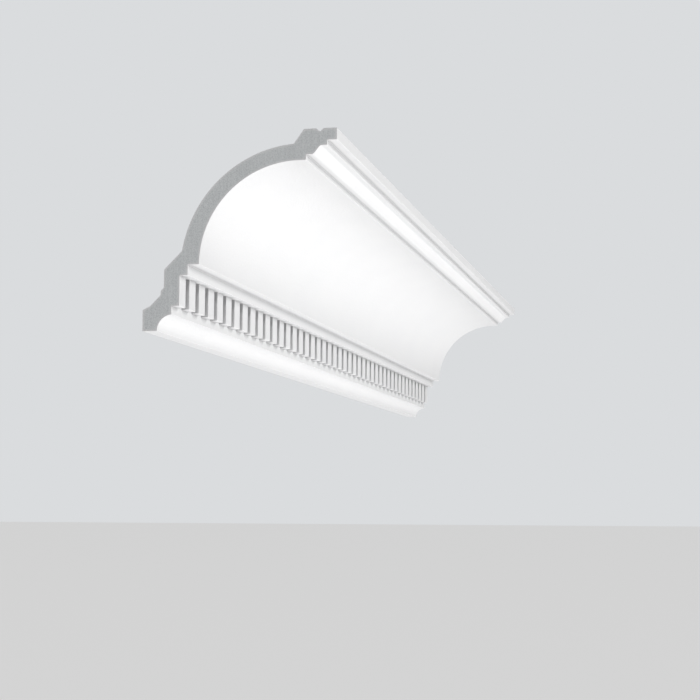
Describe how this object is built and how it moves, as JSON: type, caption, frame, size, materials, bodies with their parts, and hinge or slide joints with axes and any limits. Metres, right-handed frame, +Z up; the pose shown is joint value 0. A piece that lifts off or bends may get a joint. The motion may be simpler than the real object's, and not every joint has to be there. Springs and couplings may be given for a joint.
{
  "type": "cornice moulding length",
  "caption": "Straight cornice moulding length with a large cove, a dentil band, a stepped lip and a hollow back, for the corner of wall and ceiling.",
  "frame": {"origin": "on the back of the strip that is glued to the wall, halfway along the length and halfway up the strip", "axes": "+X along the length, away from the cut end that the picture shows; +Y into the wall; +Z up to the ceiling"},
  "size_m": [0.873, 0.12, 0.12],
  "materials": {
    "primed_white": "moulded rigid foam with an even satin white factory primer; the cut ends show the bare, fine-celled core"
  },
  "bodies": {
    "root": {"cornice_length": "primed_white"}
  },
  "joints": []
}
